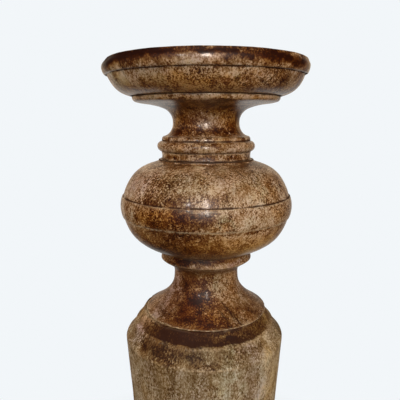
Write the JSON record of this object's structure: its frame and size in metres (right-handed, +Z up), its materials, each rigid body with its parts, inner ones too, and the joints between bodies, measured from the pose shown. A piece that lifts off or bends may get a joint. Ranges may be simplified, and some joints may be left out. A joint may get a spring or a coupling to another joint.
{
  "type": "marble pedestal column",
  "caption": "Turned brown marble pedestal column: round top plate on a waisted neck, a banded bulb and a flared foot over a tapered shaft and a moulded round base.",
  "frame": {"origin": "centre of the base's underside, on the axis of the base and the shaft, on the floor", "axes": "+Z up along the shaft towards the top plate; the upper pieces stand 2.8 mm to +X of the shaft; -Y is the side that the picture shows"},
  "size_m": [0.32, 0.32, 1],
  "materials": {
    "base_marble": "polished, mottled brown marble",
    "shaft_marble": "polished, mottled brown marble",
    "foot_marble": "polished, mottled brown marble",
    "bulb_marble": "polished, mottled brown marble",
    "neck_marble": "polished, mottled brown marble",
    "plate_marble": "polished, mottled brown marble"
  },
  "bodies": {
    "root": {"base": "base_marble", "shaft": "shaft_marble", "flared_foot": "foot_marble", "bulb": "bulb_marble", "neck": "neck_marble", "top_plate": "plate_marble"}
  },
  "joints": []
}
